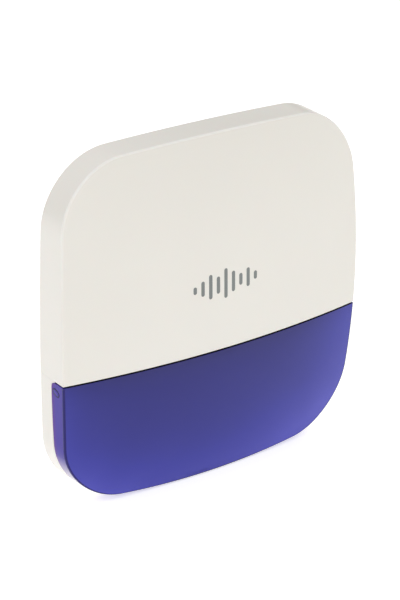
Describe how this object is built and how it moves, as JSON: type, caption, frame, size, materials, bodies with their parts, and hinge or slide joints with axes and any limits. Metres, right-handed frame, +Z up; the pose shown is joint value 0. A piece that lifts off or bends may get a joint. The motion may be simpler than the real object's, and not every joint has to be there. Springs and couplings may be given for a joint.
{
  "type": "alarm siren",
  "caption": "Square wall-mounted alarm siren with a domed white front, a blue strobe lens across the bottom, a top-hinged cover and a bracket that the housing hooks onto.",
  "frame": {"origin": "centre of the wall bracket's flat back face", "axes": "+Y into the wall, so the siren faces -Y; +Z up; +X to the right of somebody who looks at its front"},
  "size_m": [0.1998, 0.0534, 0.1998],
  "materials": {
    "white_plastic": "moulded, satin gloss",
    "natural_plastic": "moulded",
    "blue_lens": "polished tinted polycarbonate",
    "grey_plastic": "moulded, fine texture",
    "ribbon_film": "flat flexible cable",
    "gasket_rubber": "soft foam rubber",
    "circuit_board": "solder mask",
    "steel": "zinc plated",
    "tinned_steel": "tin plated",
    "black_plastic": "moulded",
    "brass": "plain",
    "led": "clear resin over phosphor",
    "cell_wrap": "printed film sleeve, plain",
    "red_wire": "PVC insulation",
    "black_wire": "PVC insulation"
  },
  "bodies": {
    "bracket": {"wall_bracket": "grey_plastic", "lock_screw": "steel"},
    "housing": {"rear_housing": "white_plastic", "housing_gasket": "gasket_rubber", "hinge_pin_left": "steel", "hinge_pin_right": "steel", "main_board": "circuit_board", "radio_shield": "tinned_steel", "controller_chip": "black_plastic", "battery_socket": "natural_plastic", "aerial_coil": "brass", "strobe_board": "circuit_board", "strobe_led_1": "led", "strobe_led_2": "led", "strobe_led_3": "led", "strobe_led_4": "led", "strobe_led_5": "led", "strobe_led_6": "led", "main_board_screw_1": "steel", "main_board_screw_2": "steel", "main_board_screw_3": "steel", "main_board_screw_4": "steel", "strobe_board_screw_1": "steel", "strobe_board_screw_2": "steel", "sounder_cup": "black_plastic", "piezo_disc": "brass", "sounder_ring": "grey_plastic", "sound_duct": "black_plastic", "battery_tray": "black_plastic", "battery_1": "cell_wrap", "battery_2": "cell_wrap", "battery_3": "cell_wrap", "battery_4": "cell_wrap", "battery_contact_1": "brass", "battery_contact_2": "brass", "battery_contact_3": "brass", "battery_contact_4": "brass", "tamper_switch_body": "black_plastic", "tamper_spring": "steel", "power_switch_body": "tinned_steel", "pairing_button_base": "grey_plastic", "sounder_lead_red": "red_wire", "sounder_lead_black": "black_wire", "battery_lead_red": "red_wire", "battery_lead_black": "black_wire", "strobe_ribbon": "ribbon_film"},
    "cover": {"front_cover": "white_plastic", "lens_carrier": "white_plastic", "strobe_lens": "blue_lens", "carrier_screw_1": "steel", "carrier_screw_2": "steel", "carrier_screw_3": "steel", "cover_screw_left": "steel", "cover_screw_right": "steel"},
    "tamper": {"tamper_plunger": "natural_plastic"},
    "power_slider": {"power_switch_slider": "black_plastic"},
    "pairing_button": {"pairing_button_cap": "black_plastic"}
  },
  "joints": [
    {"name": "housing_lift", "type": "slide", "parent": "bracket", "child": "housing", "axis": [0, 0, 1], "range_m": [0, 0.007]},
    {"name": "cover_hinge", "type": "hinge", "parent": "housing", "child": "cover", "pos_m": [0, -0.0224, 0.093], "axis": [-1, 0, 0], "range_deg": [0, 60]},
    {"name": "tamper_press", "type": "slide", "parent": "housing", "child": "tamper", "axis": [0, -1, 0], "range_m": [0, 0.002], "stiffness_N_per_m": 400, "springref_m": -0.001, "deforming": ["tamper_spring"]},
    {"name": "power_slide", "type": "slide", "parent": "housing", "child": "power_slider", "axis": [1, 0, 0], "range_m": [0, 0.003]},
    {"name": "pairing_press", "type": "slide", "parent": "housing", "child": "pairing_button", "axis": [0, 1, 0], "range_m": [0, 0.001], "stiffness_N_per_m": 900, "springref_m": -0.0005}
  ]
}
